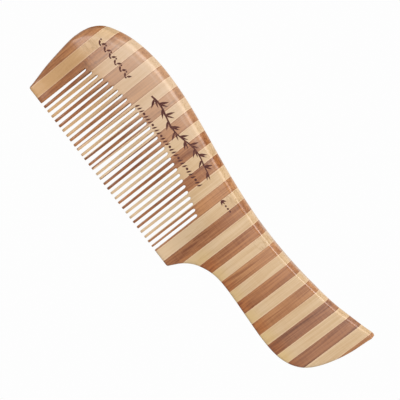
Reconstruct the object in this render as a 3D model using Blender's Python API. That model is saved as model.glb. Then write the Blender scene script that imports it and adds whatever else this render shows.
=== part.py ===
"""Wide tooth comb with an S-curved handle, cut from a board of thirty-three glued bamboo strips.

The comb lies on its back face. +X runs from the head to the end of the handle, +Y from the tooth
tips to the spine, and +Z is up through the thickness. The origin is under the middle of its box.
"""

from math import cos, pi, sin

import bmesh
import bpy
from mathutils import Vector

MM = 0.001

# The board
THICKNESS = 12.0            # head and neck
TAIL_THICKNESS = 6.0        # end of the handle
TAPER_START_X = 35.0        # the faces start to close in here
TAPER_END_X = 97.0
RIM_RADIUS = 1.5            # rounding of the outline's edge
RIM_STEPS = 2
RIM_ANGLE = 1.2             # edges that turn more than this, in radians, are the rim
FLAT_ANGLE = 0.002          # faces that turn less than this are one flat face
CORNER_RADIUS = 1.2         # lower corners of the two guards

# The wedge that thins the board towards the tooth tips
TIP_THICKNESS = 2.6
FRONT_TIP_Y = -29.0             # the tips lie on a line that rises a little towards the head
HEAD_TIP_Y = -28.45
HEAD_WEDGE_Y = (-23.4, 6.5)      # thin end, thick end
HANDLE_WEDGE_Y = (-36.2, 0.6)
WEDGE_BLEND_X = (3.6, 31.2)      # the head's wedge turns into the handle's across this stretch
WEDGE_STATION = 4.2              # spacing of the rows of vertices that follow the wedge

# The teeth
SLOT_COUNT = 31
FIRST_SLOT_X = -81.75
SLOT_PITCH = 2.826
LAST_SLOT_SHIFT = -0.3           # the last tooth is narrower than the rest
SLOT_ROOT_WIDTH = 1.44
SLOT_MOUTH_WIDTH = 1.66
TOOTH_TIP_RADIUS = 0.4
SLOT_ROOT_STEPS = 6
BELOW_TIPS = 1.0                 # the cutters run this far past the tips
ROOT_CREST = (-46.0, 7.55)       # the slots' roots lie on an arch, with its crest here
ROOT_HEAD_SIDE = (35.7, 7.3, 2.7)        # its run and fall from the crest, and the power between
ROOT_HANDLE_SIDE = (49.0, 8.5, 2.2)

# The laminations, counted from the head: even strips are carbonised bamboo, odd ones natural
STRIP_COUNT = 33
FIRST_JOINT_X = -91.4
DARK_WIDTH = 6.08
TAIL_DARK_WIDTH = 6.28
LIGHT_WIDTH = 5.89
FIRST_TAIL_STRIP = 24
JOINT_GAP = 0.1
JOINT_TO_WALL = 0.25             # a joint keeps this far from a slot's wall, to leave no sliver

# The outline, as points that a smooth curve passes through
SPINE = ((-96.9, 5.7), (-96.2, 11.3), (-93.0, 17.0), (-88.0, 20.8), (-79.0, 24.8), (-67.5, 27.2),
         (-57.0, 27.8), (-43.0, 27.05), (-26.5, 24.8), (-9.5, 22.0), (6.5, 19.8), (20.5, 18.55),
         (33.5, 18.25), (46.5, 18.8), (59.5, 20.3), (73.5, 22.8), (86.5, 26.5), (94.6, 28.8))
TAIL_AND_BELLY = ((96.75, 25.4), (96.25, 16.5), (94.85, 7.8), (92.25, -0.8), (88.75, -6.8),
                  (84.0, -10.7), (77.5, -13.1), (68.0, -13.8), (56.5, -13.1), (44.5, -12.2),
                  (35.5, -11.95), (29.5, -12.7), (24.5, -14.7), (20.0, -17.75), (16.5, -22.0),
                  (13.9, -27.2))
FRONT_CORNER_X = 13.1
HEAD_CORNER_X = -92.5
HEAD_END = ((-92.95, -25.0), (-94.55, -15.8), (-95.85, -6.4), (-96.75, 2.2))
TAIL_CORNER = (97.1, 29.2)
TAIL_CORNER_RADIUS = 1.6
CURVE_STEPS = 3             # points on each stretch between two of those above
CORNER_STEPS = 3
BEYOND_ENDS_X = 120.0       # clear of both ends of the comb

# Tolerances
WELD = 0.002
CUT_SNAP = 1e-7             # in metres
SHARP_ANGLE = 0.6


def smoothstep(value, low, high):
    share = min(max((value - low) / (high - low), 0.0), 1.0)
    return share * share * (3.0 - 2.0 * share)


def curve_through(points, steps):
    """Points of a cubic curve through the given ones, its tangents set by their neighbours."""
    points = [Vector(point) for point in points]
    last = len(points) - 1
    curve = []
    for i in range(last):
        start, end = points[i], points[i + 1]
        before, after = points[max(i - 1, 0)], points[min(i + 2, last)]
        chord = (end - start).length
        leave = (end - before) * chord / (chord + (start - before).length)
        arrive = (after - start) * chord / (chord + (after - end).length)
        for step in range(steps):
            t = step / steps
            curve.append((2 * t**3 - 3 * t**2 + 1) * start + (t**3 - 2 * t**2 + t) * leave
                         + (3 * t**2 - 2 * t**3) * end + (t**3 - t**2) * arrive)
    curve.append(points[last])
    return curve


def rounded_corner(before, corner, after, radius, steps):
    """Points of a curve that cuts a corner, starting and ending one radius from it."""
    corner = Vector(corner)
    start = corner + (Vector(before) - corner).normalized() * radius
    end = corner + (Vector(after) - corner).normalized() * radius
    return [(1 - t)**2 * start + 2 * t * (1 - t) * corner + t**2 * end
            for t in (step / steps for step in range(steps + 1))]


def outline():
    """The comb's outline before its slots are cut, clockwise from the head's leftmost point."""
    front_corner = (FRONT_CORNER_X, FRONT_TIP_Y)
    head_corner = (HEAD_CORNER_X, HEAD_TIP_Y)
    points = curve_through(SPINE, CURVE_STEPS)
    points += rounded_corner(SPINE[-1], TAIL_CORNER, TAIL_AND_BELLY[0], TAIL_CORNER_RADIUS,
                             CORNER_STEPS)
    points += curve_through(TAIL_AND_BELLY, CURVE_STEPS)
    points += rounded_corner(TAIL_AND_BELLY[-1], front_corner, head_corner, CORNER_RADIUS,
                             CORNER_STEPS)
    points += rounded_corner(front_corner, head_corner, HEAD_END[0], CORNER_RADIUS, CORNER_STEPS)
    points += curve_through(HEAD_END + SPINE[:1], CURVE_STEPS)[:-1]
    return points


def thickness(x, y):
    """The board's thickness at a place: it tapers along the handle and wedges towards the tips."""
    full = THICKNESS - (THICKNESS - TAIL_THICKNESS) * smoothstep(x, TAPER_START_X, TAPER_END_X)
    blend = smoothstep(x, *WEDGE_BLEND_X)
    thin_y, thick_y = (head + (handle - head) * blend
                       for head, handle in zip(HEAD_WEDGE_Y, HANDLE_WEDGE_Y))
    return TIP_THICKNESS + (full - TIP_THICKNESS) * smoothstep(y, thin_y, thick_y)


def root_y(x):
    """Height at which the slot at x ends: the roots lie on an arch."""
    run, fall, power = ROOT_HEAD_SIDE if x < ROOT_CREST[0] else ROOT_HANDLE_SIDE
    return ROOT_CREST[1] - fall * (abs(x - ROOT_CREST[0]) / run) ** power


def tip_y(x):
    """Height of the line of tooth tips at x."""
    share = (x - HEAD_CORNER_X) / (FRONT_CORNER_X - HEAD_CORNER_X)
    return HEAD_TIP_Y + (FRONT_TIP_Y - HEAD_TIP_Y) * share


def slot_centres():
    centres = [FIRST_SLOT_X + SLOT_PITCH * i for i in range(SLOT_COUNT)]
    centres[-1] += LAST_SLOT_SHIFT
    return centres


def slot_outline(centre):
    """One slot: a rounded root, walls that open slightly, and a mouth that rounds the tips."""
    root_half, mouth_half = SLOT_ROOT_WIDTH / 2, SLOT_MOUTH_WIDTH / 2
    top, tip = root_y(centre), tip_y(centre)
    points = []
    for step in range(SLOT_ROOT_STEPS + 1):
        angle = pi * step / SLOT_ROOT_STEPS
        points.append((centre + root_half * cos(angle), top - root_half * (1 - sin(angle))))
    for side in (-1, 1):
        mouth = []
        for angle in (0.0, pi / 4, pi / 2):
            x = mouth_half + TOOTH_TIP_RADIUS * (1 - cos(angle))
            mouth.append((centre + side * x, tip + TOOTH_TIP_RADIUS * (1 - sin(angle))))
        below = (mouth[-1][0], tip - BELOW_TIPS)
        points += mouth + [below] if side < 0 else [below] + mouth[::-1]
    return points


def joint_planes():
    """Where one strip meets the next, kept clear of the slots' walls."""
    planes = [FIRST_JOINT_X]
    for strip in range(1, STRIP_COUNT - 1):
        dark = TAIL_DARK_WIDTH if strip >= FIRST_TAIL_STRIP else DARK_WIDTH
        planes.append(planes[-1] + (LIGHT_WIDTH if strip % 2 else dark))
    walls = []
    for centre in slot_centres():
        for side in (-1, 1):
            walls += [centre + side * SLOT_ROOT_WIDTH / 2, centre + side * SLOT_MOUTH_WIDTH / 2]
    for i, plane in enumerate(planes):
        near = [wall for wall in walls if abs(wall - plane) < JOINT_TO_WALL]
        if near and plane > sum(near) / len(near):
            planes[i] = max(near) + JOINT_TO_WALL
        elif near:
            planes[i] = min(near) - JOINT_TO_WALL
    return planes


def new_object(name, mesh, collection):
    obj = bpy.data.objects.new(name, mesh)
    collection.objects.link(obj)
    return obj


def new_collection(name):
    collection = bpy.data.collections.new(name)
    bpy.context.scene.collection.children.link(collection)
    return collection


def bamboo(name, colour, roughness):
    material = bpy.data.materials.new(name)
    material.use_nodes = True
    shader = material.node_tree.nodes["Principled BSDF"]
    shader.inputs["Base Color"].default_value = (*colour, 1.0)
    shader.inputs["Roughness"].default_value = roughness
    shader.inputs["Metallic"].default_value = 0.0
    return material


def outline_board(guides):
    """The board at one thickness with a rounded rim: an extruded 2D curve, made a mesh and bevelled."""
    points = outline()
    curve = bpy.data.curves.new("board_outline", "CURVE")
    curve.dimensions = "2D"
    curve.fill_mode = "BOTH"
    curve.extrude = THICKNESS / 2 * MM
    spline = curve.splines.new("POLY")
    spline.points.add(len(points) - 1)
    for spline_point, (x, y) in zip(spline.points, points):
        spline_point.co = (x * MM, y * MM, 0.0, 1.0)
    spline.use_cyclic_u = True
    guide = new_object("board_outline", curve, guides)
    bpy.context.view_layer.update()
    mesh = bpy.data.meshes.new_from_object(guide.evaluated_get(bpy.context.evaluated_depsgraph_get()))
    bpy.data.objects.remove(guide)
    board = bmesh.new()
    board.from_mesh(mesh)
    bmesh.ops.remove_doubles(board, verts=board.verts, dist=WELD * MM)
    bmesh.ops.recalc_face_normals(board, faces=board.faces)
    bmesh.ops.dissolve_limit(board, angle_limit=FLAT_ANGLE, verts=board.verts, edges=board.edges)
    rim = [edge for edge in board.edges if edge.calc_face_angle() > RIM_ANGLE]
    bmesh.ops.bevel(board, geom=rim, offset=RIM_RADIUS * MM, segments=RIM_STEPS, profile=0.5,
                    affect="EDGES", clamp_overlap=True)
    board.to_mesh(mesh)
    board.free()
    return mesh


def slot_cutter(cutters):
    """All the slots as one mesh of separate prisms, longer than the board is thick."""
    prisms = bmesh.new()
    for centre in slot_centres():
        corners = [prisms.verts.new((x * MM, y * MM, -THICKNESS * MM)) for x, y in slot_outline(centre)]
        base = prisms.faces.new(corners)
        walls = bmesh.ops.extrude_face_region(prisms, geom=[base])
        moved = [item for item in walls["geom"] if isinstance(item, bmesh.types.BMVert)]
        bmesh.ops.translate(prisms, verts=moved, vec=(0.0, 0.0, 2 * THICKNESS * MM))
    bmesh.ops.recalc_face_normals(prisms, faces=prisms.faces)
    mesh = bpy.data.meshes.new("slot_cutter")
    prisms.to_mesh(mesh)
    prisms.free()
    cutter = new_object("slot_cutter", mesh, cutters)
    cutter.hide_render = True
    cutter.display_type = "WIRE"
    return cutter


def cut_board(cutters):
    """The board with its slots, still at one thickness."""
    blank = new_object("board_blank", outline_board(cutters), cutters)
    blank.hide_render = True
    blank.display_type = "WIRE"
    cut = blank.modifiers.new("slots", "BOOLEAN")
    cut.operation = "DIFFERENCE"
    cut.object = slot_cutter(cutters)
    bpy.context.view_layer.update()
    mesh = bpy.data.meshes.new_from_object(blank.evaluated_get(bpy.context.evaluated_depsgraph_get()))
    blank.modifiers.remove(cut)
    return mesh


def keep_side(strip, x, side):
    """Cuts the strip across at x, drops the material on that side and closes the cut."""
    geometry = strip.verts[:] + strip.edges[:] + strip.faces[:]
    cut = bmesh.ops.bisect_plane(strip, geom=geometry, dist=CUT_SNAP, plane_co=(x * MM, 0.0, 0.0),
                                 plane_no=(side, 0.0, 0.0), clear_outer=True)
    edges = [item for item in cut["geom_cut"] if isinstance(item, bmesh.types.BMEdge)]
    bmesh.ops.holes_fill(strip, edges=edges, sides=0)


def shape_strip(board, low_x, high_x):
    """One strip of the cut board, wedged and tapered to its final thickness."""
    strip = bmesh.new()
    strip.from_mesh(board)
    keep_side(strip, low_x, -1.0)
    keep_side(strip, high_x, 1.0)
    y = HEAD_WEDGE_Y[0]
    while y < HEAD_WEDGE_Y[1] + WEDGE_STATION:
        geometry = strip.verts[:] + strip.edges[:] + strip.faces[:]
        bmesh.ops.bisect_plane(strip, geom=geometry, dist=CUT_SNAP, plane_co=(0.0, y * MM, 0.0),
                               plane_no=(0.0, 1.0, 0.0))
        y += WEDGE_STATION
    for vert in strip.verts:
        share = thickness(vert.co.x / MM, vert.co.y / MM) / THICKNESS
        vert.co.z = THICKNESS / 2 * MM + vert.co.z * share
    bmesh.ops.triangulate(strip, faces=strip.faces)
    bmesh.ops.recalc_face_normals(strip, faces=strip.faces)
    mesh = bpy.data.meshes.new("strip")
    strip.to_mesh(mesh)
    strip.free()
    mesh.set_sharp_from_angle(angle=SHARP_ANGLE)
    return mesh


def main():
    for obj in list(bpy.data.objects):
        bpy.data.objects.remove(obj)
    comb = new_collection("wide_tooth_comb")
    cutters = new_collection("cutters")
    dark = bamboo("carbonised_bamboo", (0.42, 0.20, 0.09), 0.42)
    light = bamboo("natural_bamboo", (0.72, 0.46, 0.22), 0.42)

    board = cut_board(cutters)
    ends = [-BEYOND_ENDS_X] + joint_planes() + [BEYOND_ENDS_X]
    for i in range(STRIP_COUNT):
        mesh = shape_strip(board, ends[i] + JOINT_GAP / 2, ends[i + 1] - JOINT_GAP / 2)
        kind, material = ("light", light) if i % 2 else ("dark", dark)
        mesh.materials.append(material)
        mesh.name = f"strip_{i:02d}_{kind}"
        new_object(mesh.name, mesh, comb)


main()
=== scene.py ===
"""Looks of the wide tooth comb: fine strip surfaces, bamboo, a printed ornament, light and camera.

Lengths are in millimetres until a mesh, light or camera is made. The shape repeats the CAD part's
driving dimensions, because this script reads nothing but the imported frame.
"""

from math import cos, pi, radians, sin

import bpy
import numpy as np
from mathutils import Matrix, Vector
from mathutils.geometry import delaunay_2d_cdt


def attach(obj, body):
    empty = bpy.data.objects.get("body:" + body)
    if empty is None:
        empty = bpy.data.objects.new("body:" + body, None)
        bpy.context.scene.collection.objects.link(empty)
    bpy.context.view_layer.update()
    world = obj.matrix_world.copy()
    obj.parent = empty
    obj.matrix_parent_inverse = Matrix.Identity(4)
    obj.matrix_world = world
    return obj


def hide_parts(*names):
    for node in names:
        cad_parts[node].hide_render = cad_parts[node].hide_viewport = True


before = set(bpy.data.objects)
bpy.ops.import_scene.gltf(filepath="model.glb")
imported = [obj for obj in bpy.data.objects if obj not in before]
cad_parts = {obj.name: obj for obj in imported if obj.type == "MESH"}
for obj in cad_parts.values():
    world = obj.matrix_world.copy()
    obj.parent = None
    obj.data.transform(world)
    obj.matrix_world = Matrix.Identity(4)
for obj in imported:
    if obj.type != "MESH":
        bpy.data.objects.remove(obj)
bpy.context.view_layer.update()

MM = 0.001

# The board and its wedge
THICKNESS = 12.0
TAIL_THICKNESS = 6.0
TAPER_X = (35.0, 97.0)
TIP_THICKNESS = 2.6
HEAD_WEDGE_Y = (-23.4, 6.5)
HANDLE_WEDGE_Y = (-36.2, 0.6)
WEDGE_BLEND_X = (3.6, 31.2)

# The teeth
SLOT_COUNT = 31
FIRST_SLOT_X = -81.75
SLOT_PITCH = 2.826
LAST_SLOT_SHIFT = -0.3
SLOT_ROOT_WIDTH = 1.44
SLOT_MOUTH_WIDTH = 1.66
TIGHTER = (0.17, 0.07)                    # the cut slots are narrower than the CAD part's by this much,
TIGHTER_SLOTS = (8, 11)                   # up to the first of these slots and from the second on
TOOTH_TIP_RADIUS = 0.5
LAST_TIP_RADIUS = 0.4                     # of the last tooth, which is the thinnest
ROOT_CREST = (-46.0, 7.55)                # the roots' curve: its crest, then run, fall and power
ROOT_HEAD_SIDE = (35.7, 7.3, 2.7)
ROOT_HANDLE_SIDE = (49.0, 8.5, 2.2)
FRONT_TIP_Y = -29.0
HEAD_TIP_Y = -28.45

# Fine teeth never stand quite parallel: neighbours lean apart and together by turns
LEAN = 0.1
TURN_TOOTH = 17                           # from this tooth on they lean the other way about
TURNED_LEAN = -0.8                        # by this share
MIDDLE_LEAN = 0.17                        # on top of that, for the teeth about the one below
MIDDLE_TOOTH = 11.5
MIDDLE_REACH = 3.2
SIDEWAYS_LEAN = -0.16                     # the same teeth also lean together towards the head
LEAN_POWER = 1.4

# The laminations
STRIP_COUNT = 33
FIRST_JOINT_X = -91.4
DARK_WIDTH = 6.08
TAIL_DARK_WIDTH = 6.28
LIGHT_WIDTH = 5.89
FIRST_TAIL_STRIP = 24
JOINT_TO_WALL = 0.25

# The outline
SPINE = ((-96.9, 5.7), (-96.2, 11.3), (-93.0, 17.0), (-88.0, 20.8), (-79.0, 24.8), (-67.5, 27.2),
         (-57.0, 27.8), (-43.0, 27.05), (-26.5, 24.8), (-9.5, 22.0), (6.5, 19.8), (20.5, 18.55),
         (33.5, 18.25), (46.5, 18.8), (59.5, 20.3), (73.5, 22.8), (86.5, 26.5), (94.6, 28.8))
TAIL_AND_BELLY = ((96.75, 25.4), (96.25, 16.5), (94.85, 7.8), (92.25, -0.8), (88.75, -6.8),
                  (84.0, -10.7), (77.5, -13.1), (68.0, -13.8), (56.5, -13.1), (44.5, -12.2),
                  (35.5, -11.95), (29.5, -12.7), (24.5, -14.7), (20.0, -17.75), (16.5, -22.0),
                  (13.9, -27.2))
FRONT_CORNER = (13.1, FRONT_TIP_Y)
HEAD_CORNER = (-91.8, HEAD_TIP_Y)
HEAD_END = ((-92.45, -25.0), (-94.55, -15.8), (-95.85, -6.4), (-96.75, 2.2))
TAIL_CORNER = (97.1, 29.2)
CORNER_RADIUS = 0.6
TAIL_CORNER_RADIUS = 1.6

# How the edges are worn round. Along the spine: x, how far in the rounding reaches, how far it falls
SPINE_ROUNDING = ((-80.0, 4.6, 2.3), (-50.0, 4.2, 2.1), (-20.0, 3.2, 1.6), (10.0, 2.2, 0.9),
                  (30.0, 1.8, 0.55), (45.0, 1.8, 0.5), (62.0, 1.4, 0.5), (75.0, 1.6, 1.3),
                  (90.0, 1.8, 1.8), (95.5, 0.7, 0.7))
ROUNDING_X, ROUNDING_REACH, ROUNDING_FALL = zip(*SPINE_ROUNDING)
SPINE_SIDE_Y = (2.0, 14.0)                # the spine's rounding sets in between these heights
BELLY_ROUND = 1.3
TIP_ROUND = 1.1
TIP_SIDE_Y = (-14.0, -24.0)               # and the belly's gives way to the tips' between these
ROOT_POINT = 1.25                         # the slots' roots are drawn out to this length
ROOT_RISE = 0.2
SLOT_ROUND = 0.42
MOST_ROUND = 0.92                         # of the half thickness there
ROUND_BLEND = 4.0                         # power that merges two roundings at a corner
CROWN = 0.45                              # the faces also fall away softly by this much
CROWN_REACH = 14.0                        # over this distance in from the outline

# How finely the surfaces are made
CURVE_STEPS = 16
CORNER_POINTS = 9
ROOT_POINTS = 19
TIP_POINTS = 7
MOUTH_DEPTH = 1.0                         # a slot's open mouth is closed this far below the tips
OUTLINE_STEP = 0.6
SLOT_STEP = 0.8
JOINT_STEP = 0.5
FIELD_STEP = 1.4
FIELD_INSET = (0.7, 0.3)                  # from the strip's two joints
FIELD_TO_RIM = 0.4
FIELD_TO_SLOT = 0.3
RING_COUNT = 5
RING_CLEAR = 0.985                        # share of its depth that a ring keeps from every edge
REACH = 6.0                               # how far past a strip its neighbours' slots still count
PAST_JOINT = 1.2                          # the rings run on across a joint by this much
BEYOND = 2.0                              # how far the joint lines run past the comb
PAST_END = 1.0                            # and how far the two end strips' bounds lie past it
MERGE_DISTANCE = 1e-5
INK_MERGE_DISTANCE = 1e-4
ALL_TRIANGLES = 0                         # what a triangulation gives back: all of it
INSIDE_TRIANGLES = 1                      # or only what is inside the outlines
SHARP_ANGLE = radians(50.0)
FAR_AWAY = 1e3


def smoothstep(value, low, high):
    share = np.clip((value - low) / (high - low), 0.0, 1.0)
    return share * share * (3.0 - 2.0 * share)


def curve_through(points, steps):
    """Points of a cubic curve through the given ones, its tangents set by their neighbours."""
    points = [np.array(point, float) for point in points]
    last = len(points) - 1
    curve = []
    for i in range(last):
        start, end = points[i], points[i + 1]
        before, after = points[max(i - 1, 0)], points[min(i + 2, last)]
        chord = np.linalg.norm(end - start)
        leave = (end - before) * chord / (chord + np.linalg.norm(start - before))
        arrive = (after - start) * chord / (chord + np.linalg.norm(after - end))
        for t in np.arange(steps) / steps:
            curve.append((2 * t**3 - 3 * t**2 + 1) * start + (t**3 - 2 * t**2 + t) * leave
                         + (3 * t**2 - 2 * t**3) * end + (t**3 - t**2) * arrive)
    curve.append(points[last])
    return curve


def rounded_corner(before, corner, after, radius):
    """Points of a curve that cuts a corner, starting and ending one radius from it."""
    before, corner, after = (np.array(point, float) for point in (before, corner, after))
    start = corner + (before - corner) / np.linalg.norm(before - corner) * radius
    end = corner + (after - corner) / np.linalg.norm(after - corner) * radius
    return [(1 - t)**2 * start + 2 * t * (1 - t) * corner + t**2 * end
            for t in np.linspace(0.0, 1.0, CORNER_POINTS)]


def evenly(points, step):
    """The same polyline with its points about one step apart."""
    points = np.array(points, float)
    along = np.concatenate([[0.0], np.cumsum(np.linalg.norm(np.diff(points, axis=0), axis=1))])
    count = max(int(round(along[-1] / step)), 2)
    marks = np.linspace(0.0, along[-1], count + 1)
    return np.stack([np.interp(marks, along, points[:, axis]) for axis in (0, 1)], axis=1)


def make_outline():
    """The closed outline, clockwise from the head's leftmost point."""
    points = curve_through(SPINE, CURVE_STEPS)
    points += rounded_corner(SPINE[-1], TAIL_CORNER, TAIL_AND_BELLY[0], TAIL_CORNER_RADIUS)
    points += curve_through(TAIL_AND_BELLY, CURVE_STEPS)
    points += rounded_corner(TAIL_AND_BELLY[-1], FRONT_CORNER, HEAD_CORNER, CORNER_RADIUS)
    points += rounded_corner(FRONT_CORNER, HEAD_CORNER, HEAD_END[0], CORNER_RADIUS)
    points += curve_through(HEAD_END + SPINE[:1], CURVE_STEPS)
    return evenly(points, OUTLINE_STEP)[:-1]


def half_thickness(x, y):
    full = THICKNESS - (THICKNESS - TAIL_THICKNESS) * smoothstep(x, *TAPER_X)
    blend = smoothstep(x, *WEDGE_BLEND_X)
    thin_y, thick_y = (head + (handle - head) * blend
                       for head, handle in zip(HEAD_WEDGE_Y, HANDLE_WEDGE_Y))
    return (TIP_THICKNESS + (full - TIP_THICKNESS) * smoothstep(y, thin_y, thick_y)) / 2


def root_y(x):
    run, fall, power = ROOT_HEAD_SIDE if x < ROOT_CREST[0] else ROOT_HANDLE_SIDE
    return ROOT_CREST[1] - fall * (abs(x - ROOT_CREST[0]) / run) ** power


def tip_y(x):
    share = (x - HEAD_CORNER[0]) / (FRONT_CORNER[0] - HEAD_CORNER[0])
    return HEAD_TIP_Y + (FRONT_TIP_Y - HEAD_TIP_Y) * share


def slot_centres():
    centres = [FIRST_SLOT_X + SLOT_PITCH * i for i in range(SLOT_COUNT)]
    centres[-1] += LAST_SLOT_SHIFT
    return centres


def slot_outline(index, centre):
    """One slot, counter-clockwise from its root's right end, open mouth closed below the tips."""
    tighter = np.interp(index, TIGHTER_SLOTS, TIGHTER)
    root_half, mouth_half = (SLOT_ROOT_WIDTH - tighter) / 2, (SLOT_MOUTH_WIDTH - tighter) / 2
    top, tip = root_y(centre) + ROOT_RISE, tip_y(centre)
    root = [(centre + root_half * cos(angle), top - ROOT_POINT * (1 - sin(angle)))
            for angle in np.linspace(0.0, pi, ROOT_POINTS)]
    radii = {side: TOOTH_TIP_RADIUS for side in (-1, 1)}
    if index >= SLOT_COUNT - 2:
        radii[1 if index == SLOT_COUNT - 2 else -1] = LAST_TIP_RADIUS
    sides = {}
    for side, radius in radii.items():
        sides[side] = [(centre + side * (mouth_half + radius * (1 - cos(angle))),
                        tip + radius * (1 - sin(angle)))
                       for angle in np.linspace(0.0, pi / 2, TIP_POINTS)]
    left = evenly([root[-1], sides[-1][0]], SLOT_STEP)[1:-1].tolist()
    right = evenly([sides[1][0], root[0]], SLOT_STEP)[1:-1].tolist()
    below = [(sides[side][-1][0], tip - MOUTH_DEPTH) for side in (-1, 1)]
    return np.array(root + left + sides[-1] + below + sides[1][::-1] + right)


def joint_planes():
    """Where one strip meets the next, kept clear of the slots' walls."""
    planes = [FIRST_JOINT_X]
    for strip in range(1, STRIP_COUNT - 1):
        dark = TAIL_DARK_WIDTH if strip >= FIRST_TAIL_STRIP else DARK_WIDTH
        planes.append(planes[-1] + (LIGHT_WIDTH if strip % 2 else dark))
    walls = []
    for centre in slot_centres():
        for side in (-1, 1):
            walls += [centre + side * SLOT_ROOT_WIDTH / 2, centre + side * SLOT_MOUTH_WIDTH / 2]
    for i, plane in enumerate(planes):
        near = [wall for wall in walls if abs(wall - plane) < JOINT_TO_WALL]
        if near and plane > sum(near) / len(near):
            planes[i] = max(near) + JOINT_TO_WALL
        elif near:
            planes[i] = min(near) - JOINT_TO_WALL
    return planes


OUTLINE = make_outline()
SLOTS = [slot_outline(i, centre) for i, centre in enumerate(slot_centres())]


def loop_segments(loop):
    return np.stack([loop, np.roll(loop, -1, axis=0)], axis=1)


def distance_to(points, segments):
    """Distance from each point to the nearest of the segments."""
    if not len(segments):
        return np.full(len(points), FAR_AWAY)
    start, run = segments[:, 0], segments[:, 1] - segments[:, 0]
    gap = points[:, None] - start[None]
    share = np.clip((gap * run).sum(2) / (run * run).sum(1), 0.0, 1.0)
    return np.sqrt(((gap - share[..., None] * run) ** 2).sum(2).min(1))


def inside(points, loop):
    """Whether each point is inside the loop, by counting the edges above it."""
    a, b = loop, np.roll(loop, -1, axis=0)
    x, y = points[:, 0, None], points[:, 1, None]
    spans = (a[:, 0] > x) != (b[:, 0] > x)
    with np.errstate(divide="ignore", invalid="ignore"):
        crossing = a[:, 1] + (x - a[:, 0]) * (b[:, 1] - a[:, 1]) / (b[:, 0] - a[:, 0])
    return (spans & (crossing > y)).sum(1) % 2 == 1


def on_board(points, slots):
    """Whether each point is inside the outline and outside the slots."""
    solid = inside(points, OUTLINE)
    for slot in slots:
        solid &= ~inside(points, slot)
    return solid


def rim_round(x, y, along_spine):
    """The outline's rounding near a place, from its reaches or its falls along the spine."""
    spine = np.interp(x, ROUNDING_X, along_spine)
    lower = BELLY_ROUND + (TIP_ROUND - BELLY_ROUND) * smoothstep(y, *TIP_SIDE_Y)
    return lower + (spine - lower) * smoothstep(y, *SPINE_SIDE_Y)


def drop(distance, reach, fall):
    """How far a rounded edge falls below the face, at a distance in from the outline."""
    share = np.clip(1.0 - distance / reach, 0.0, 1.0)
    return fall * (1.0 - np.sqrt(1.0 - share**2))


def surface_height(points, rim, slots):
    """Height of the upper surface over the board's middle plane."""
    x, y = points[:, 0], points[:, 1]
    half = half_thickness(x, y)
    to_rim = distance_to(points, rim)
    rim_drop = drop(to_rim, rim_round(x, y, ROUNDING_REACH), rim_round(x, y, ROUNDING_FALL))
    slot_drop = drop(distance_to(points, slots), SLOT_ROUND, SLOT_ROUND)
    both = (rim_drop**ROUND_BLEND + slot_drop**ROUND_BLEND) ** (1.0 / ROUND_BLEND)
    crown = CROWN * half / (THICKNESS / 2) * np.clip(1.0 - to_rim / CROWN_REACH, 0.0, 1.0) ** 2
    return half - np.minimum(both + crown, MOST_ROUND * half)


def lean_teeth(points):
    """The same points with every tooth leaning a little, most of all at its tip."""
    x, y = points[:, 0], points[:, 1]
    index = np.floor((x - FIRST_SLOT_X) / SLOT_PITCH)
    free = (index >= 0) & (index < SLOT_COUNT - 2)
    middle = np.exp(-((index - MIDDLE_TOOTH) / MIDDLE_REACH) ** 2)
    by_turns = (1.0 - 2.0 * (index % 2)) * np.where(index < TURN_TOOTH, 1.0, TURNED_LEAN)
    lean = by_turns * (LEAN + MIDDLE_LEAN * middle) + SIDEWAYS_LEAN * middle
    roots = np.array([root_y(value) for value in x])
    share = np.clip((roots - y) / (roots - FRONT_TIP_Y), 0.0, 1.0) ** LEAN_POWER
    return np.column_stack([x + np.where(free, lean * share, 0.0), y])


class Plan:
    """Points, and the edges between them, gathered for one triangulation."""

    def __init__(self):
        self.points = []
        self.edges = []

    def add(self, chain, links=()):
        base = len(self.points)
        self.points.extend(Vector(point) for point in chain)
        self.edges.extend((base + i, base + j) for i, j in links)

    def triangulate(self):
        verts, _, faces, *_ = delaunay_2d_cdt(self.points, self.edges, [], ALL_TRIANGLES, MERGE_DISTANCE)
        return np.array(verts), np.array([list(face) for face in faces])


def add_joint_lines(plan, low_x, high_x, top):
    for x in (low_x, high_x):
        heights = np.arange(FRONT_TIP_Y - BEYOND, top, JOINT_STEP)
        line = np.stack([np.full(len(heights), x), heights], axis=1)
        plan.add(line, [(i, i + 1) for i in range(len(line) - 1)])


def add_rings(plan, loop, reach, low_x, high_x, edges, slots):
    """Chains of points set in from a loop, spaced so that a rounding's arc has even steps."""
    along = np.roll(loop, -1, axis=0) - np.roll(loop, 1, axis=0)
    along /= np.linalg.norm(along, axis=1)[:, None]
    inward = np.stack([along[:, 1], -along[:, 0]], axis=1)
    near = (loop[:, 0] > low_x - REACH) & (loop[:, 0] < high_x + REACH)
    for ring in range(1, RING_COUNT + 1):
        depth = reach * (1 - cos(pi / 2 * ring / RING_COUNT))
        points = loop + inward * depth[:, None]
        kept = near & (points[:, 0] > low_x - PAST_JOINT) & (points[:, 0] < high_x + PAST_JOINT)
        index = np.flatnonzero(kept)
        index = index[distance_to(points[index], edges) > RING_CLEAR * depth[index]]
        index = index[on_board(points[index], slots)]
        plan.add(points[index], [(i, i + 1) for i in range(len(index) - 1)
                                 if index[i + 1] == index[i] + 1])


def add_field(plan, low_x, high_x, top, rim, slot_edges):
    """A grid of points over the rest of the face."""
    columns = np.arange(low_x + FIELD_INSET[0], high_x - FIELD_INSET[1], FIELD_STEP)
    rows = np.arange(FRONT_TIP_Y, top, FIELD_STEP)
    field = np.stack(np.meshgrid(columns, rows), axis=2).reshape(-1, 2)
    rounded = rim_round(field[:, 0], field[:, 1], ROUNDING_REACH)
    field = field[distance_to(field, rim) > rounded + FIELD_TO_RIM]
    field = field[distance_to(field, slot_edges) > SLOT_ROUND + FIELD_TO_SLOT]
    plan.add(field)


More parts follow.
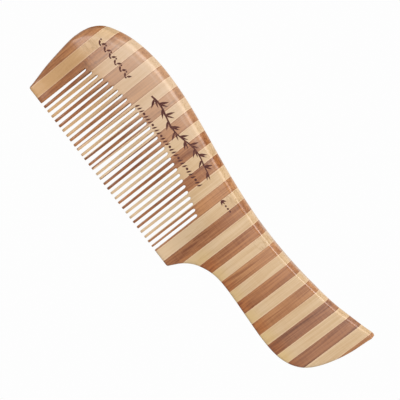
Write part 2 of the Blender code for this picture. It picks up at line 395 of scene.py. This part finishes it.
def facing_up(flat, faces):
    """The points that the faces use, and the faces all turned the same way."""
    used, faces = np.unique(faces, return_inverse=True)
    faces = faces.reshape(-1, 3)
    flat = flat[used]
    corners = flat[faces]
    turn = np.cross(corners[:, 1] - corners[:, 0], corners[:, 2] - corners[:, 0])
    faces[turn < 0] = faces[turn < 0][:, ::-1]
    return flat, faces


def closed_mesh(name, flat, faces, upper_z, lower_z):
    """A closed mesh of the faces at two heights, with walls along their border."""
    count = len(flat)
    verts = np.concatenate([np.column_stack([flat, upper_z]), np.column_stack([flat, lower_z])])
    ends = np.concatenate([faces[:, [0, 1]], faces[:, [1, 2]], faces[:, [2, 0]]])
    _, first, times = np.unique(np.sort(ends, axis=1), axis=0, return_index=True, return_counts=True)
    border = ends[first[times == 1]]
    walls = np.column_stack([border[:, 1], border[:, 0], border[:, 0] + count, border[:, 1] + count])
    mesh = bpy.data.meshes.new(name)
    mesh.from_pydata((verts * MM).tolist(), [],
                     faces.tolist() + (faces[:, ::-1] + count).tolist() + walls.tolist())
    return mesh


def nearby(segments, low_x, high_x):
    middle = segments.mean(axis=1)[:, 0]
    return segments[(middle > low_x - REACH) & (middle < high_x + REACH)]


def strip_mesh(name, low_x, high_x):
    """One strip: its upper surface triangulated with the edges' roundings, mirrored, and walled."""
    rim = nearby(loop_segments(OUTLINE), low_x, high_x)
    slots = [slot for slot in SLOTS if low_x - REACH < slot[:, 0].mean() < high_x + REACH]
    slot_edges = np.concatenate([loop_segments(slot) for slot in slots]) if slots else rim[:0]
    every_edge = np.concatenate([rim, slot_edges])
    top = OUTLINE[:, 1].max() + BEYOND

    plan = Plan()
    for segment in every_edge:
        plan.add(segment, [(0, 1)])
    add_joint_lines(plan, low_x, high_x, top)
    reaches = [rim_round(OUTLINE[:, 0], OUTLINE[:, 1], ROUNDING_REACH)]
    reaches += [np.full(len(slot), SLOT_ROUND) for slot in slots]
    for loop, reach in zip([OUTLINE] + slots, reaches):
        add_rings(plan, loop, reach, low_x, high_x, every_edge, slots)
    add_field(plan, low_x, high_x, top, rim, slot_edges)

    flat, faces = plan.triangulate()
    middle = flat[faces].mean(axis=1)
    kept = (middle[:, 0] > low_x) & (middle[:, 0] < high_x) & on_board(middle, slots)
    flat, faces = facing_up(flat, faces[kept])
    wide_rim = nearby(loop_segments(OUTLINE), low_x - CROWN_REACH, high_x + CROWN_REACH)
    height = surface_height(flat, wide_rim, slot_edges)
    middle_z = THICKNESS / 2
    mesh = closed_mesh(name, lean_teeth(flat), faces, middle_z + height, middle_z - height)
    mesh.shade_smooth()
    mesh.set_sharp_from_angle(angle=SHARP_ANGLE)
    return mesh


# The materials. Colours are linear. A tone is the wood's colour between its fibres, then the fibres'
# own. What differs between the dark and the light strips is given twice, the dark ones' first. A name
# in _FADE, _X or _Y is a fade: a range, then what it gives at its two ends, 0 and 1 if not stated.
CARBONISED_TONE = ((0.455, 0.190, 0.070), (0.215, 0.063, 0.018))
PALE_CARBONISED_TONE = ((0.535, 0.247, 0.097), (0.290, 0.103, 0.033))
GREY_CARBONISED_TONE = ((0.395, 0.170, 0.079), (0.180, 0.063, 0.031))
NATURAL_TONE = ((0.700, 0.505, 0.312), (0.550, 0.348, 0.170))
PALE_STRIPS = (0, 6, 16, 22, 26, 32)
GREY_STRIPS = (28, 30)
STRIP_SEED = (37.3, 91.7, 53.1)           # each strip's grain starts at its own place

# Grain: a noise's scale, detail and roughness, and its share in the darkness
MIDDLE_NOISE = 0.5                        # a noise's middle value
FIBRE_STRETCH = (1.0, 0.02, 0.3)          # fibres run along Y
FINE_GRAIN = (2.8, 2.0, 0.6)
FINE_SHARE = 1.6
STREAKS = (1.15, 2.0, 0.6)
STREAK_SHARE = 2.1
BROAD_GRAIN = (0.45, 1.0)
BROAD_SHARE = 0.95
PATCHES = (0.09, 1.0)
PATCH_SHARE = 0.2
SANDING = (1.0, 1.0)
SANDING_SHARE = -0.5
SANDING_STRETCH = (0.10, 1.5, 0.10)
CONTRAST = (1.0, 0.64)                    # the natural bamboo's fibres show less
BUNDLE_SCALE = 1.5
BUNDLE_SPREAD = 0.9
BUNDLE_FADE = (0.10, 0.34, 1.0, 0.0)
BUNDLE_SHARE = (0.35, 0.18)
LOWER_Y = (6.0, -16.0)                    # towards the teeth and the belly
LOWER_SHARE = (0.06, -0.4)
MEAN_DARKNESS = 0.38
DRIFT = 3.0                               # the fibres wander sideways by up to half of this
DRIFT_STRETCH = (0.10, 0.02, 0.10)

# Growth nodes: the height of the one that crosses a strip, and how fibres swirl and mark there
GROWTH_NODES = {1: 9.0, 2: 4.0, 13: 24.5, 17: 18.5, 21: 16.0}
NODE_FADE = (1.0, 5.0, 1.0, 0.0)
SWIRL = 4.0
SWIRL_NOISE = (0.42, 1.0)
MARK_NOISE = (1.0, 1.0)
MARK_STRETCH = (0.16, 0.75, 0.16)
MARK_FADE = (0.015, 0.08, 0.6, 0.0)
MARK_DEPTH = 0.8

# Where the face's colour changes
AMBER = (0.88, 0.72, 0.55)                # the head's far end has kept a deeper colour
AMBER_X = (-28.0, -90.0)
AMBER_Y = (27.0, -8.0)
AMBER_SHARE = (0.45, 1.0)
BELLY = ((1.0, 0.80, 0.55), (1.0, 0.97, 0.77))    # and so has the handle towards its belly
BELLY_X = (10.0, 24.0)
BELLY_Y = (-3.0, -11.5)
HEAD_SHEEN = ((0.70, 0.50, 0.34), (0.72, 0.54, 0.41))   # painted sheen: the middle of the head's face is paled, as a broad reflection of the lights pales it
HEAD_SHEEN_RIGHT_X = (-16.0, -52.0)
HEAD_SHEEN_LEFT_X = (-89.0, -78.0)
HEAD_SHEEN_Y = (-10.0, 10.0, 0.0, 0.36)
SHEEN_COLOUR = (0.72, 0.54, 0.41)                 # painted sheen: the face pales where it turns down towards the spine, as a highlight there would pale it
RIM_SHEEN_START_FADE = (0.02, 0.08, 0.0, 0.22)
RIM_SHEEN_END_FADE = (0.65, 0.35)
RIM_SHEEN_RIGHT_X = (5.0, -20.0, 0.05, 1.0)
RIM_SHEEN_LEFT_X = (-92.0, -78.0, 0.2, 1.0)

# Where the edges differ from the face
SLOT_WALL_LIGHT = ((0.74, 0.42, 0.19), (0.95, 0.70, 0.38))   # painted light: the slots' walls get a bright wood colour, standing in for light that does not reach into the narrow slots
SLOTS_LEFT_X = (-83.7, -83.6)
SLOTS_RIGHT_X = (4.7, 4.6)
SLOTS_Y = (9.0, 7.5)
SLOT_WALL_LIGHT_FADE = (0.75, 0.93, 0.0, 0.85)
END_GRAIN_FADE = (0.55, 0.9)
PORE_SCALE = 0.95
PORE_FADE = (0.10, 0.45)
PORE_SHARE = (0.5, 0.75)
PORE_DEPTH = 0.7
UNDER_EDGE_SHADE_FADE = (0.2, 0.75)             # of the half thickness; painted shade, a darker band on the walls below the upper edge
UNDER_EDGE_SHADE_SHARE = (0.22, 0.20)
UNDER_EDGE_SHADE_DEPTH = 0.5
WALL_SHEEN_FADE = (0.55, 0.9, 0.0, 0.09)      # painted sheen: the dark strips' spine walls are paled along the handle
WALL_SHEEN_X = (-10.0, 10.0)
FLOOR_LIT_WALL = (0.80, 0.53, 0.33)            # painted light: the walls pale towards their lower edges, as if lit by the floor below
FLOOR_LIT_FADE = (0.0, -0.9, 0.0, 0.35)
DARKER_END_STRIPS = (0, 1)                  # the head's end is darker where its surface faces towards -X
DARKER_END_FADE = (-0.3, -0.9, 0.0, 0.5)
DARKER_END_DEPTH = 0.6
JOINT = ((0.19, 0.075, 0.030), (0.90, 0.62, 0.42))    # a joint shows as a rim on both strips
JOINT_FADE = (0.08, 0.55, 0.35, 0.0)

# Relief and gloss
FINE_RELIEF = -0.7
BUNDLE_RELIEF = -0.6
BUMP_STRENGTH = 0.25
BUMP_DEPTH = 0.00006
ROUGHNESS = 0.36
FIBRE_ROUGHNESS = 0.14                    # what the darkest fibres add to it
POLISH_FADE = (0.1, 0.6)
POLISH_EDGE = 0.04
POLISH_FACE = (0.95, 0.5)
POOLED_FADE = (0.1, -0.85, 0.0, 0.8)      # lacquer has pooled low on the walls
SPINE_TURN_FADE = (0.15, 0.32)            # the spine's rounded edge is duller, at the head and the tail
MATT_HEAD_X = (28.0, 12.0)
MATT_HEAD = -0.5
MATT_TAIL_X = (64.0, 76.0)
MATT_TAIL = -0.4
BELLY_TURN_FADE = (-0.75, -0.25, 0.15, 1.0)    # and so is everything that turns down to the belly
COAT_ROUGHNESS = 0.2
COAT_IOR = 1.8


class Nodes:
    """Short calls for making and linking a material's nodes."""

    def __init__(self, name):
        self.material = bpy.data.materials.new(name)
        self.material.use_nodes = True
        self.tree = self.material.node_tree
        self.shader = self.tree.nodes["Principled BSDF"]

    def put(self, socket, value):
        if isinstance(value, bpy.types.NodeSocket):
            self.tree.links.new(value, socket)
        else:
            socket.default_value = value

    def make(self, kind, inputs=(), **settings):
        node = self.tree.nodes.new(kind)
        for name, value in settings.items():
            setattr(node, name, value)
        for socket, value in dict(inputs).items():
            self.put(node.inputs[socket], value)
        return node

    def maths(self, operation, *values, clamp=False):
        return self.make("ShaderNodeMath", enumerate(values), operation=operation,
                         use_clamp=clamp).outputs[0]

    def product(self, first, *others):
        for other in others:
            first = self.maths("MULTIPLY", first, other)
        return first

    def vector(self, operation, *values):
        return self.make("ShaderNodeVectorMath", enumerate(values), operation=operation).outputs[0]

    def smooth(self, value, low, high, start=0.0, end=1.0):
        """Value taken from low..high to start..end with an eased slope."""
        return self.make("ShaderNodeMapRange", {"Value": value, "From Min": low, "From Max": high,
                                                "To Min": start, "To Max": end},
                         interpolation_type="SMOOTHSTEP").outputs[0]

    def noise(self, where, scale=1.0, detail=2.0, roughness=0.55):
        return self.make("ShaderNodeTexNoise", {"Vector": where, "Scale": scale, "Detail": detail,
                                                "Roughness": roughness}).outputs["Fac"]

    def blend(self, share, first, second, kind="MIX"):
        node = self.make("ShaderNodeMix", data_type="RGBA", blend_type=kind)
        for socket, value in zip((node.inputs[0], node.inputs[6], node.inputs[7]),
                                 (share, first, second)):
            self.put(socket, value)
        return node.outputs[2]

    def place(self):
        """The place on the object, in metres."""
        return self.make("ShaderNodeTexCoord").outputs["Object"]

    def set(self, **sockets):
        for name, value in sockets.items():
            self.put(self.shader.inputs[name.replace("_", " ")], value)


def opaque(colour):
    return (*colour, 1.0)


def tone_of(index):
    if index % 2:
        return NATURAL_TONE
    if index in PALE_STRIPS:
        return PALE_CARBONISED_TONE
    return GREY_CARBONISED_TONE if index in GREY_STRIPS else CARBONISED_TONE


class Bamboo(Nodes):
    """A strip's bamboo: fibres along Y, pores where they are cut across, and thin glue lines."""

    def __init__(self, name, index, low_x, high_x):
        super().__init__(name)
        self.index = index
        self.is_dark = index % 2 == 0
        self.tone = tone_of(index)
        place = self.vector("MULTIPLY", self.place(), (1 / MM,) * 3)
        self.x, self.y, self.z = self.make("ShaderNodeSeparateXYZ", {0: place}).outputs
        self.own = self.vector("ADD", place, tuple(index * seed for seed in STRIP_SEED))
        normal = self.make("ShaderNodeTexCoord").outputs["Normal"]
        self.sideways, self.facing, self.upward = self.make("ShaderNodeSeparateXYZ", {0: normal}).outputs
        self.end_grain = self.smooth(self.size_of(self.facing), *END_GRAIN_FADE)
        self.height = self.maths("DIVIDE", self.maths("SUBTRACT", self.z, THICKNESS / 2),
                                 self.smooth(self.x, *TAPER_X, THICKNESS / 2, TAIL_THICKNESS / 2))
        self.grow()
        self.tint_face()
        self.tint_edges()
        self.tint_joints(low_x, high_x)
        self.finish()

    def pick(self, pair):
        """The value for this strip's kind."""
        return pair[0] if self.is_dark else pair[1]

    def size_of(self, value):
        return self.maths("ABSOLUTE", value)

    def paint(self, share, colour, kind="MIX"):
        self.colour = self.blend(share, self.colour, opaque(colour), kind)

    def deepen(self, share, depth):
        """Blend in the fibres' own colour, made darker."""
        self.paint(share, [value * depth for value in self.tone[1]])

    def grow(self):
        """The fibres: how dark the wood is from place to place, and its colour."""
        drift = self.noise(self.vector("MULTIPLY", self.own, DRIFT_STRETCH))
        shift = self.maths("MULTIPLY_ADD", drift, DRIFT, -DRIFT / 2)
        has_node = self.index in GROWTH_NODES
        if has_node:
            from_node = self.size_of(self.maths("SUBTRACT", self.y, GROWTH_NODES[self.index]))
            near_node = self.smooth(from_node, *NODE_FADE)
            swirl = self.maths("MULTIPLY_ADD", self.noise(self.own, *SWIRL_NOISE), SWIRL, -SWIRL / 2)
            shift = self.maths("MULTIPLY_ADD", swirl, near_node, shift)
        wander = self.make("ShaderNodeCombineXYZ", {0: shift}).outputs[0]
        fibres = self.vector("MULTIPLY", self.vector("ADD", self.own, wander), FIBRE_STRETCH)
        self.fine = self.noise(fibres, *FINE_GRAIN)
        self.bundle = self.bundles(fibres)
        self.darkness = self.mix_grain(fibres)
        self.colour = self.blend(self.darkness, opaque(self.tone[0]), opaque(self.tone[1]))
        if has_node:
            mark = self.noise(self.vector("MULTIPLY", self.own, MARK_STRETCH), *MARK_NOISE)
            mark = self.smooth(self.size_of(self.maths("SUBTRACT", mark, MIDDLE_NOISE)), *MARK_FADE)
            self.deepen(self.product(mark, near_node), MARK_DEPTH)

    def bundles(self, fibres):
        """The coarser bundles of fibres, some stronger than others."""
        cells = self.make("ShaderNodeTexVoronoi", {"Vector": fibres, "Scale": BUNDLE_SCALE,
                                                   "Randomness": BUNDLE_SPREAD})
        strength = self.make("ShaderNodeSeparateColor", {0: cells.outputs["Color"]}).outputs[0]
        return self.product(self.smooth(cells.outputs["Distance"], *BUNDLE_FADE), strength)

    def mix_grain(self, fibres):
        """All the grain as one darkness from 0 to 1."""
        sanded = self.vector("MULTIPLY", self.own, SANDING_STRETCH)
        parts = ((self.fine, FINE_SHARE), (self.noise(fibres, *STREAKS), STREAK_SHARE),
                 (self.noise(fibres, *BROAD_GRAIN), BROAD_SHARE),
                 (self.noise(self.own, *PATCHES), PATCH_SHARE),
                 (self.noise(sanded, *SANDING), SANDING_SHARE))
        darkness = 0.0
        for part, share in parts:
            part = self.maths("SUBTRACT", part, MIDDLE_NOISE)
            darkness = self.maths("MULTIPLY_ADD", part, share * self.pick(CONTRAST), darkness)
        darkness = self.maths("MULTIPLY_ADD", self.bundle, self.pick(BUNDLE_SHARE), darkness)
        lower = self.smooth(self.y, *LOWER_Y)
        darkness = self.maths("MULTIPLY_ADD", lower, self.pick(LOWER_SHARE), darkness)
        return self.maths("ADD", darkness, MEAN_DARKNESS, clamp=True)

    def tint_face(self):
        amber = self.product(self.smooth(self.x, *AMBER_X), self.smooth(self.y, *AMBER_Y),
                             self.pick(AMBER_SHARE))
        self.paint(amber, AMBER, "MULTIPLY")
        belly = self.product(self.smooth(self.x, *BELLY_X), self.smooth(self.y, *BELLY_Y))
        self.paint(belly, self.pick(BELLY), "MULTIPLY")
        # painted sheen over the middle of the head's face
        head_sheen = self.product(self.smooth(self.x, *HEAD_SHEEN_RIGHT_X), self.smooth(self.x, *HEAD_SHEEN_LEFT_X),
                            self.smooth(self.y, *HEAD_SHEEN_Y))
        self.paint(head_sheen, self.pick(HEAD_SHEEN))
        # painted sheen where the face turns down towards the spine
        rim_sheen = self.product(self.smooth(self.facing, *RIM_SHEEN_START_FADE),
                            self.smooth(self.facing, *RIM_SHEEN_END_FADE),
                            self.smooth(self.x, *RIM_SHEEN_RIGHT_X), self.smooth(self.x, *RIM_SHEEN_LEFT_X))
        self.paint(rim_sheen, SHEEN_COLOUR)

    def tint_edges(self):
        # painted light on the slots' walls
        slot_wall_light = self.product(self.smooth(self.x, *SLOTS_LEFT_X), self.smooth(self.x, *SLOTS_RIGHT_X),
                            self.smooth(self.y, *SLOTS_Y),
                            self.smooth(self.size_of(self.sideways), *SLOT_WALL_LIGHT_FADE))
        self.paint(slot_wall_light, self.pick(SLOT_WALL_LIGHT))
        pores = self.make("ShaderNodeTexVoronoi", {"Vector": self.own, "Scale": PORE_SCALE})
        pores = self.smooth(pores.outputs["Distance"], *PORE_FADE, self.pick(PORE_SHARE), 0.0)
        self.deepen(self.product(self.end_grain, pores), PORE_DEPTH)
        # painted shade below the walls' upper edge
        under_edge_shade = self.product(self.end_grain, self.smooth(self.height, *UNDER_EDGE_SHADE_FADE),
                                  self.pick(UNDER_EDGE_SHADE_SHARE))
        self.deepen(under_edge_shade, UNDER_EDGE_SHADE_DEPTH)
        if self.is_dark:
            # painted sheen on the dark strips' spine walls
            wall_sheen = self.product(self.smooth(self.facing, *WALL_SHEEN_FADE), self.smooth(self.x, *WALL_SHEEN_X))
            self.paint(wall_sheen, SHEEN_COLOUR)
        # painted light on the walls' lower parts
        self.paint(self.product(self.end_grain, self.smooth(self.height, *FLOOR_LIT_FADE)), FLOOR_LIT_WALL)
        if self.index in DARKER_END_STRIPS:
            self.deepen(self.smooth(self.sideways, *DARKER_END_FADE), DARKER_END_DEPTH)

    def tint_joints(self, low_x, high_x):
        to_joint = self.maths("MINIMUM", self.maths("SUBTRACT", self.x, low_x),
                              self.maths("SUBTRACT", high_x, self.x))
        self.paint(self.smooth(to_joint, *JOINT_FADE), self.pick(JOINT))

    def coat(self):
        """The lacquer: full on the faces, thin on the walls and where the edges turn down."""
        coat = self.smooth(self.size_of(self.upward), *POLISH_FADE, POLISH_EDGE, self.pick(POLISH_FACE))
        pooled = self.product(self.end_grain, self.smooth(self.height, *POOLED_FADE))
        coat = self.maths("MAXIMUM", coat, pooled)
        for where, less in ((MATT_HEAD_X, MATT_HEAD), (MATT_TAIL_X, MATT_TAIL)):
            matt = self.product(self.smooth(self.facing, *SPINE_TURN_FADE), self.smooth(self.x, *where))
            coat = self.product(coat, self.maths("MULTIPLY_ADD", matt, less, 1.0))
        return self.product(coat, self.smooth(self.facing, *BELLY_TURN_FADE))

    def finish(self):
        relief = self.maths("MULTIPLY_ADD", self.bundle, BUNDLE_RELIEF,
                            self.product(self.fine, FINE_RELIEF))
        bump = self.make("ShaderNodeBump", {"Height": relief, "Strength": BUMP_STRENGTH,
                                            "Distance": BUMP_DEPTH})
        self.set(Base_Color=self.colour, Normal=bump.outputs[0], Specular_IOR_Level=0.0,
                 Roughness=self.maths("MULTIPLY_ADD", self.darkness, FIBRE_ROUGHNESS, ROUGHNESS),
                 Coat_Weight=self.coat(), Coat_Roughness=COAT_ROUGHNESS, Coat_IOR=COAT_IOR)


def new_object(name, data):
    obj = bpy.data.objects.new(name, data)
    bpy.context.scene.collection.objects.link(obj)
    return obj


def make_strips():
    ends = [OUTLINE[:, 0].min() - PAST_END] + joint_planes() + [OUTLINE[:, 0].max() + PAST_END]
    for i in range(STRIP_COUNT):
        kind = "light" if i % 2 else "dark"
        mesh = strip_mesh(f"bamboo_{i:02d}_{kind}", ends[i], ends[i + 1])
        mesh.materials.append(Bamboo(mesh.name, i, ends[i], ends[i + 1]).material)
        strip = new_object(mesh.name, mesh)
        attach(strip, "root")
        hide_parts(f"strip_{i:02d}_{kind}")


# The ornament: a bamboo sprig over a beaded rule, a row of leaves, and a small spray
INK_HEIGHT = 0.03
INK_DEPTH = 0.2
INK = (0.088, 0.031, 0.027)
WORN_INK = (0.24, 0.105, 0.075)
WORN_INK_SHARE = 0.5
INK_GRAIN_STRETCH = (1000.0, 60.0, 1000.0)    # from metres to millimetres, and drawn out along Y
INK_GRAIN = (1.6, 3.0, 0.6)
INK_WEAR_FADE = (0.42, 0.70)
INK_ROUGHNESS = 0.5
WORN_INK_ROUGHNESS = 0.1                  # what the wear adds to it
INK_SPECULAR = 0.1

LEAF_POINTS = 12
LEAF_FULLEST = 0.75                       # power that sets the leaf's widest place nearer its tip
LEAF_BEND = 0.10
BEAD_POINTS = 14
STEM_STEP = 0.5
STEM_CURVE_STEPS = 8
STEM_WIDTHS = (0.9, 0.5)

SPRIG_X = (-53.0, -8.5)
SPRIG_Y = 17.0
SPRIG_WAVE = 1.2
SPRIG_WAVES = 1.6
SPRIG_PHASE = 0.5
SPRIG_STEM_POINTS = 12
SPRIG_PAIRS = 15
SPRIG_PAIR_SHARES = (0.04, 0.97)
SPRIG_SHRINK = 0.2                        # the last leaves are smaller by this share
SPRIG_LEAVES = ((0.0, (62, 53, 44), 4.9, 1.15),    # a pair: how far on along X each leaf starts, its
                (0.4, (24, 30), 4.4, 0.85))        # angles by turns, its length and its width

RULE_X = (-53.5, -5.5)
RULE_STEP = 1.6
RULE_Y = 9.5
RULE_GROUP = 4                            # three leaves and a bead
RULE_LEAF_FOOT = (-0.6, -1.3)             # from the leaf's place on the line
RULE_LEAF = (62, 2.8, 0.75)               # angle, length and width
RULE_BEAD_RADIUS = 0.62

LEAF_ROW_X = (-88.0, -65.5)
LEAF_ROW_STEP = 1.9
LEAF_ROW_Y = 14.3
ROW_LEAF_ANGLE = 48
ROW_LEAF = (2.5, 0.95)                    # length and width
ROW_LEAF_BACK = 0.3                       # each leaf starts this far to the line's other side
ROW_BEAD_ON = 0.1
ROW_BEAD_BACK = 0.95
ROW_BEAD_RADIUS = 0.42

SPRAY_Y = 13.1
SPRAY_LEAF_X = 4.4
SPRAY_LEAF = (2.5, 0.85)                  # length and width
SPRAY_ANGLES = (-36, 0, 36)
SPRAY_BEADS_X = (7.8, 9.4, 11.0)
SPRAY_BEAD_RADIUS = 0.48


def leaf(x, y, angle, length, width):
    """A pointed leaf that starts at x, y and runs out along its angle."""
    share = np.linspace(0.0, 1.0, LEAF_POINTS)
    half = width / 2 * np.sin(pi * share ** LEAF_FULLEST)
    bend = LEAF_BEND * length * share**2
    along = np.concatenate([share * length, (share * length)[-2:0:-1]])
    across = np.concatenate([half + bend, (bend - half)[-2:0:-1]])
    turn = radians(angle)
    return np.column_stack([x + along * cos(turn) - across * sin(turn),
                            y + along * sin(turn) + across * cos(turn)])


def bead(x, y, radius):
    angles = np.linspace(0.0, 2 * pi, BEAD_POINTS, endpoint=False)
    return np.column_stack([x + radius * np.cos(angles), y + radius * np.sin(angles)])


def stem(points, width, end_width):
    """A line of varying width along points."""
    line = evenly(curve_through(points, STEM_CURVE_STEPS), STEM_STEP)
    along = np.gradient(line, axis=0)
    along /= np.linalg.norm(along, axis=1)[:, None]
    half = np.linspace(width, end_width, len(line))[:, None] / 2
    side = np.column_stack([-along[:, 1], along[:, 0]]) * half
    return np.concatenate([line + side, (line - side)[::-1]])


def ink_mesh(name, shapes):
    """The union of the shapes as one thin raised layer."""
    points, outlines = [], []
    for shape in shapes:
        outlines.append(list(range(len(points), len(points) + len(shape))))
        points.extend(Vector(point) for point in shape)
    verts, _, faces, *_ = delaunay_2d_cdt(points, [], outlines, INSIDE_TRIANGLES, INK_MERGE_DISTANCE)
    flat, faces = facing_up(np.array(verts), np.array([list(face) for face in faces]))
    board = surface_height(flat, loop_segments(OUTLINE), OUTLINE[:0, None])
    top = THICKNESS / 2 + board + INK_HEIGHT
    return closed_mesh(name, flat, faces, top, top - INK_DEPTH)


def sprig_place(share):
    x = SPRIG_X[0] + (SPRIG_X[1] - SPRIG_X[0]) * share
    return x, SPRIG_Y + SPRIG_WAVE * sin(2 * pi * SPRIG_WAVES * share + SPRIG_PHASE)


def sprig_shapes():
    """A long wavering stem with pairs of leaves, thicker towards its foot."""
    wave = [sprig_place(share) for share in np.linspace(0.0, 1.0, SPRIG_STEM_POINTS)]
    shapes = [stem(wave, *STEM_WIDTHS)]
    for i, share in enumerate(np.linspace(*SPRIG_PAIR_SHARES, SPRIG_PAIRS)):
        x, y = sprig_place(share)
        side = 1 if i % 2 else -1
        size = 1.0 - SPRIG_SHRINK * share
        for on, angles, length, width in SPRIG_LEAVES:
            angle = side * angles[i % len(angles)]
            shapes.append(leaf(x + on, y, angle, length * size, width * size))
    return shapes


def rule_shapes():
    """Three slanting leaves and a bead by turns, along a straight line."""
    shapes = []
    for i, x in enumerate(np.arange(*RULE_X, RULE_STEP)):
        if i % RULE_GROUP == RULE_GROUP - 1:
            shapes.append(bead(x, RULE_Y, RULE_BEAD_RADIUS))
        else:
            shapes.append(leaf(x + RULE_LEAF_FOOT[0], RULE_Y + RULE_LEAF_FOOT[1], *RULE_LEAF))
    return shapes


def leaf_row_shapes():
    """Small leaves to both sides of a short line, with a bead beside each."""
    shapes = []
    for i, x in enumerate(np.arange(*LEAF_ROW_X, LEAF_ROW_STEP)):
        side = 1 if i % 2 else -1
        shapes.append(leaf(x, LEAF_ROW_Y - side * ROW_LEAF_BACK, side * ROW_LEAF_ANGLE, *ROW_LEAF))
        shapes.append(bead(x + ROW_BEAD_ON, LEAF_ROW_Y - side * ROW_BEAD_BACK, ROW_BEAD_RADIUS))
    return shapes


def spray_shapes():
    """Three leaves from one point, and three beads after them."""
    shapes = [leaf(SPRAY_LEAF_X, SPRAY_Y, angle, *SPRAY_LEAF) for angle in SPRAY_ANGLES]
    return shapes + [bead(x, SPRAY_Y, SPRAY_BEAD_RADIUS) for x in SPRAY_BEADS_X]


def ink_material():
    nodes = Nodes("printed_ink")
    grain = nodes.vector("MULTIPLY", nodes.place(), INK_GRAIN_STRETCH)
    worn = nodes.smooth(nodes.noise(grain, *INK_GRAIN), *INK_WEAR_FADE)
    colour = nodes.blend(nodes.product(worn, WORN_INK_SHARE), opaque(INK), opaque(WORN_INK))
    roughness = nodes.maths("MULTIPLY_ADD", worn, WORN_INK_ROUGHNESS, INK_ROUGHNESS)
    nodes.set(Base_Color=colour, Roughness=roughness, Specular_IOR_Level=INK_SPECULAR)
    return nodes.material


def make_ornament():
    ink = ink_material()
    for name, shapes in (("print_sprig", sprig_shapes()), ("print_rule", rule_shapes()),
                         ("print_leaf_row", leaf_row_shapes()), ("print_spray", spray_shapes())):
        mesh = ink_mesh(name, shapes)
        mesh.materials.append(ink)
        piece = new_object(name, mesh)
        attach(piece, "root")


# Camera: it looks down on the face, tilted towards the spine, with the comb lying across the frame
CAMERA_AIM = (-1.75, 5.2, 12.0)
CAMERA_DISTANCE = 1380.0
CAMERA_TILT = radians(17.0)
CAMERA_ROLL = radians(38.0)
CAMERA_LENS = 270.0
CAMERA_SENSOR = 36.0
CAMERA_CLIP = (0.01, 20.0)                # in metres


def turned_to(place, side, up, back):
    """The matrix of a camera or light at a place, with its own axes along these directions."""
    return Matrix.Translation(place) @ Matrix((side, up, back)).transposed().to_4x4()


def make_camera():
    back = Vector((0.0, sin(CAMERA_TILT), cos(CAMERA_TILT)))
    along = Vector((1.0, 0.0, 0.0))
    across = back.cross(along)
    right = along * sin(CAMERA_ROLL) + across * cos(CAMERA_ROLL)
    up = across * sin(CAMERA_ROLL) - along * cos(CAMERA_ROLL)
    place = (Vector(CAMERA_AIM) + back * CAMERA_DISTANCE) * MM
    data = bpy.data.cameras.new("camera")
    data.lens = CAMERA_LENS
    data.sensor_width = CAMERA_SENSOR
    data.clip_start, data.clip_end = CAMERA_CLIP
    camera = new_object("camera", data)
    camera.matrix_world = turned_to(place, right, up, back)
    bpy.context.scene.camera = camera


# The stage, in metres and watts. The floor shines evenly, as a lit white sweep does.
FLOOR_SIDE = 3.0
FLOOR_Z = -0.00005                        # just clear of the comb's own back
FLOOR_GLOW = 0.985
FLOOR_ROUGHNESS = 0.9
WORLD_GLOW = 0.37
WHITE = (1.0, 1.0, 1.0)
BLACK = (0.0, 0.0, 0.0)
LIGHTS = (("overhead", (0.05, 0.80, 0.80), (0.0, 0.0, 0.0), (1.3, 0.8), 12.8),
          ("above", (0.05, -0.12, 1.1), (0.0, 0.0, 0.0), (1.3, 0.30), 0.8),
          ("head_side", (-0.42, -0.30, 1.0), (-0.03, 0.0, 0.0), (0.5, 0.35), 1.2))


def make_floor():
    corners = [(-FLOOR_SIDE, -FLOOR_SIDE, FLOOR_Z), (FLOOR_SIDE, -FLOOR_SIDE, FLOOR_Z),
               (FLOOR_SIDE, FLOOR_SIDE, FLOOR_Z), (-FLOOR_SIDE, FLOOR_SIDE, FLOOR_Z)]
    mesh = bpy.data.meshes.new("floor")
    mesh.from_pydata(corners, [], [(0, 1, 2, 3)])
    nodes = Nodes("floor")
    nodes.set(Base_Color=opaque(BLACK), Roughness=FLOOR_ROUGHNESS, Specular_IOR_Level=0.0,
              Emission_Color=opaque(WHITE), Emission_Strength=FLOOR_GLOW)
    mesh.materials.append(nodes.material)
    floor = new_object("floor", mesh)


def soft_light(name, place, aim, size, power):
    """A rectangular softbox that faces the aim, its long side across X."""
    data = bpy.data.lights.new(name, "AREA")
    data.shape = "RECTANGLE"
    data.size, data.size_y = size
    data.energy = power
    light = new_object(name, data)
    back = (Vector(place) - Vector(aim)).normalized()
    side = Vector((0.0, 1.0, 0.0)).cross(back).normalized()
    light.matrix_world = turned_to(Vector(place), side, back.cross(side), back)


def make_lights():
    for light in LIGHTS:
        soft_light(*light)
    world = bpy.data.worlds.new("world")
    bpy.context.scene.world = world
    world.use_nodes = True
    background = world.node_tree.nodes["Background"]
    background.inputs["Color"].default_value = opaque(WHITE)
    background.inputs["Strength"].default_value = WORLD_GLOW
    bpy.context.scene.view_settings.view_transform = "Standard"


make_camera()
make_floor()
make_lights()
make_strips()
make_ornament()
